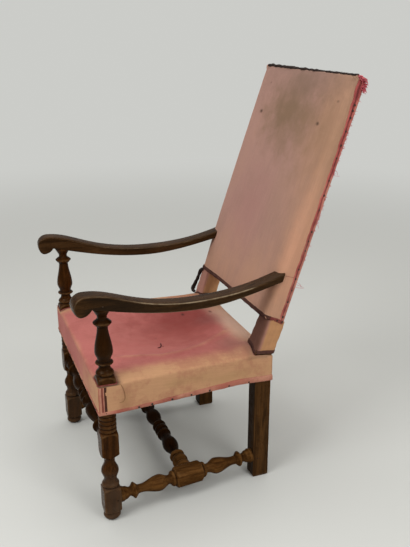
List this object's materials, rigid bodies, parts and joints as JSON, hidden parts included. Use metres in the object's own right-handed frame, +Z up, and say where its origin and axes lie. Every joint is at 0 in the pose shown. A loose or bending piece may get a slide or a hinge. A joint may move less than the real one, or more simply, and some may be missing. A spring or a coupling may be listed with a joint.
{
  "type": "turned wood armchair",
  "caption": "High-backed walnut armchair with turned front posts, scrolled arms and an H-shaped stretcher frame, its raked back and fixed seat upholstered in faded rose cloth.",
  "frame": {"origin": "on the floor, under the middle of the chair's bounding box", "axes": "+Z up, -Y towards the front of the chair, +X towards the sitter's left"},
  "size_m": [0.6188, 0.8453, 1.2244],
  "materials": {
    "walnut": "satin",
    "peg_wood": "matte",
    "jute": "matte",
    "hessian": "matte",
    "horsehair": "matte",
    "rose_cloth": "matte",
    "dusty_cloth": "matte",
    "gimp": "matte"
  },
  "bodies": {
    "root": {"front_post_left": "walnut", "front_post_right": "walnut", "rear_post_left": "walnut", "rear_post_right": "walnut", "seat_rail_front": "walnut", "seat_rail_rear": "walnut", "seat_rail_left": "walnut", "seat_rail_right": "walnut", "back_top_rail": "walnut", "back_lower_rail": "walnut", "arm_left": "walnut", "arm_right": "walnut", "front_stretcher": "walnut", "side_stretcher_left": "walnut", "side_stretcher_right": "walnut", "middle_stretcher": "walnut", "arm_peg_left": "peg_wood", "arm_peg_right": "peg_wood", "side_stretcher_front_peg_left": "peg_wood", "side_stretcher_front_peg_right": "peg_wood", "side_stretcher_rear_peg_left": "peg_wood", "side_stretcher_rear_peg_right": "peg_wood", "middle_stretcher_peg_left": "peg_wood", "middle_stretcher_peg_right": "peg_wood", "front_stretcher_peg_left": "peg_wood", "front_stretcher_peg_right": "peg_wood", "seat_rail_front_peg_left": "peg_wood", "seat_rail_front_peg_right": "peg_wood", "seat_rail_rear_peg_left": "peg_wood", "seat_rail_rear_peg_right": "peg_wood", "seat_rail_left_front_peg": "peg_wood", "seat_rail_left_rear_peg": "peg_wood", "seat_rail_right_front_peg": "peg_wood", "seat_rail_right_rear_peg": "peg_wood", "back_top_rail_peg_left": "peg_wood", "back_top_rail_peg_right": "peg_wood", "back_lower_rail_peg_left": "peg_wood", "back_lower_rail_peg_right": "peg_wood", "seat_web_long_1": "jute", "seat_web_long_2": "jute", "seat_web_long_3": "jute", "seat_web_cross_1": "jute", "seat_web_cross_2": "jute", "seat_web_cross_3": "jute", "seat_hessian": "hessian", "seat_stuffing": "horsehair", "seat_cover": "rose_cloth", "back_hessian": "hessian", "back_stuffing": "horsehair", "back_cover": "dusty_cloth", "back_outside_cover": "dusty_cloth", "post_sleeve_left": "dusty_cloth", "post_sleeve_right": "dusty_cloth", "sleeve_gimp_left": "gimp", "sleeve_gimp_right": "gimp", "back_top_gimp": "gimp", "back_bottom_gimp": "gimp"}
  },
  "joints": []
}
